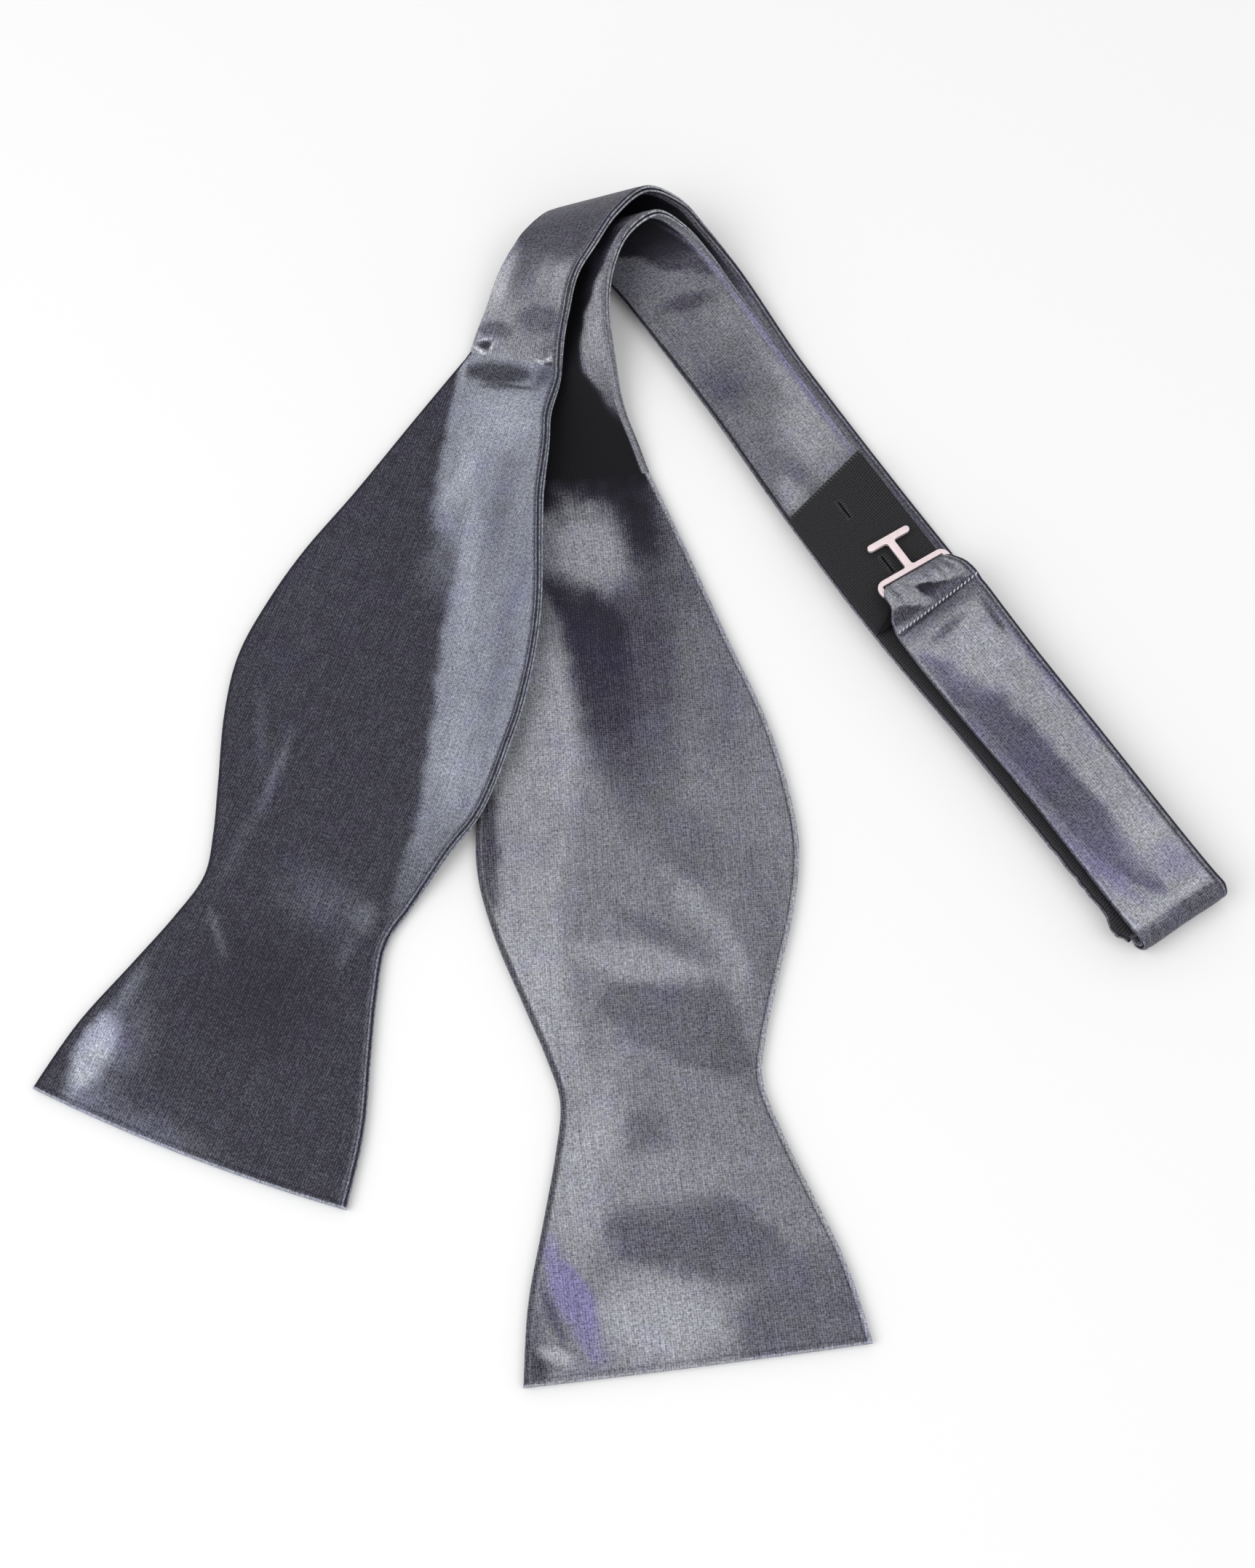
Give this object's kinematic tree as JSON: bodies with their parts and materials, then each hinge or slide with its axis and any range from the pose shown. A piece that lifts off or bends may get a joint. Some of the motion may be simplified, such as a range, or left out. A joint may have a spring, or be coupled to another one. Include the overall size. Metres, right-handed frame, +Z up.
{
  "type": "self-tie bow tie",
  "caption": "Untied self-tie bow tie of dark satin, lying flat with its halves nested, two shaped blades, a folded neck band, a slotted ribbon and a T hook.",
  "frame": {"origin": "middle of the outline on the surface it lies on", "axes": "+Z up from the surface, +Y along the tie towards its folded apex, +X towards the leg with the hook"},
  "size_m": [0.2318, 0.2486, 0.021],
  "materials": {
    "left_blade_satin": "charcoal satin with a fine weave",
    "left_band_satin": "charcoal satin with a fine weave",
    "right_blade_satin": "charcoal satin with a fine weave",
    "right_band_satin": "charcoal satin with a fine weave",
    "ribbon_twill": "matt black twill ribbon",
    "hook_steel": "pale rose plated, polished"
  },
  "bodies": {
    "root": {"left_blade": "left_blade_satin", "left_band": "left_band_satin", "right_blade": "right_blade_satin", "right_band": "right_band_satin", "slotted_ribbon": "ribbon_twill", "t_hook": "hook_steel"}
  },
  "joints": []
}
